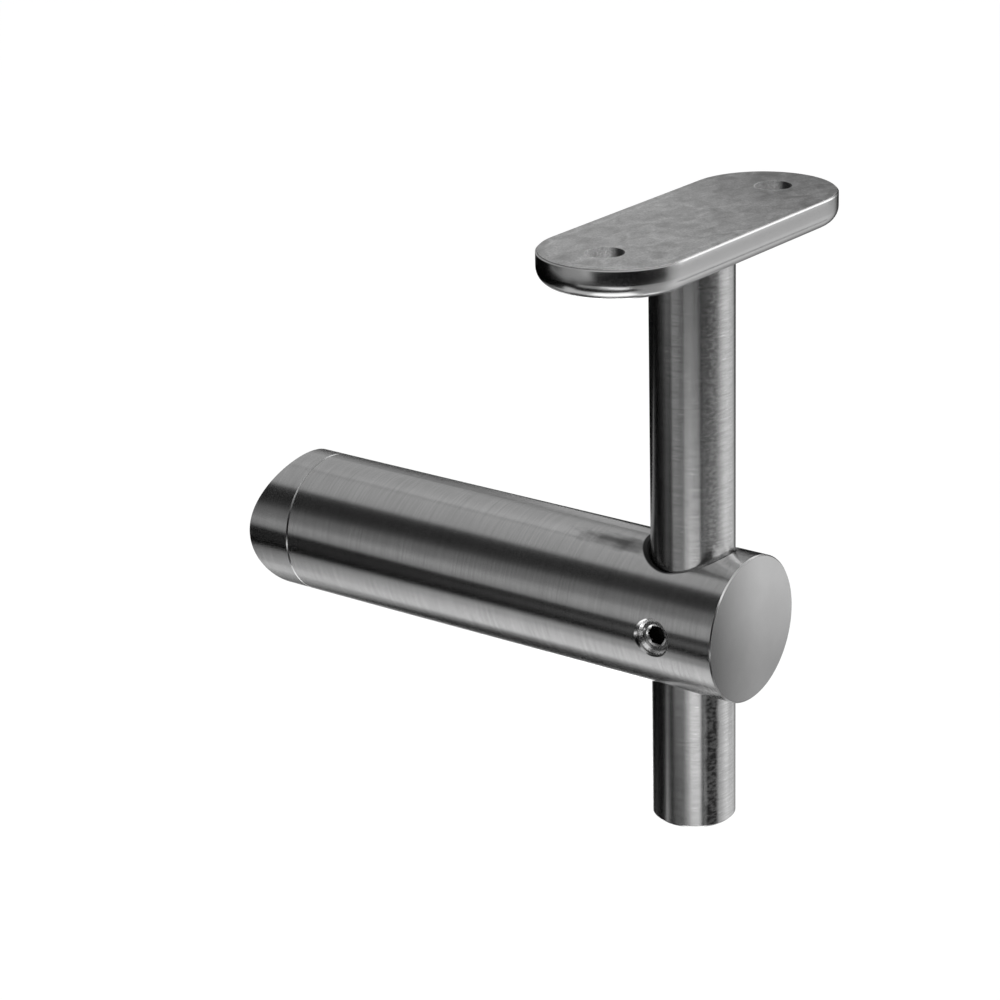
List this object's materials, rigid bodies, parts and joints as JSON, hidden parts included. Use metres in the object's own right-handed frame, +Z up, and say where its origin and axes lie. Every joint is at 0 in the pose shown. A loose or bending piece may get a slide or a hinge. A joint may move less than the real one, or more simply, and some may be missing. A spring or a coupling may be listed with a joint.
{
  "type": "handrail bracket",
  "caption": "Handrail bracket: a round bar, coped at one end to fit a round post, carries a vertical spindle clamped by a set screw, with a flat round-ended saddle plate on top.",
  "frame": {"origin": "on the bar's axis, at the deepest point of the cope, where the bracket meets the post's surface", "axes": "+X along the bar away from the post, +Y along the saddle plate, +Z up along the spindle towards the rail"},
  "size_m": [0.0999, 0.0666, 0.104],
  "materials": {
    "satin_bar": "satin, finely ground round the bar",
    "satin_end": "satin, finely ground round the bar",
    "turned_spindle": "turned, with fine rings",
    "cast_plate": "cast and blasted top, polished edges",
    "bright_screw": "bright, plain"
  },
  "bodies": {
    "bar": {"arm": "satin_bar", "post_adaptor": "satin_end"},
    "spindle": {"spindle": "turned_spindle"},
    "saddle_plate": {"saddle_plate": "cast_plate"},
    "set_screw": {"set_screw": "bright_screw"}
  },
  "joints": [
    {"name": "height_slide", "type": "slide", "parent": "bar", "child": "spindle", "axis": [0, 0, 1], "range_m": [-0.05, 0.0235]},
    {"name": "plate_turn", "type": "hinge", "parent": "spindle", "child": "saddle_plate", "pos_m": [0.0835, 0, 0.0628], "axis": [0, 0, 1], "continuous": true},
    {"name": "set_screw_travel", "type": "slide", "parent": "bar", "child": "set_screw", "axis": [0, -1, 0], "range_m": [0, 0.004]}
  ]
}
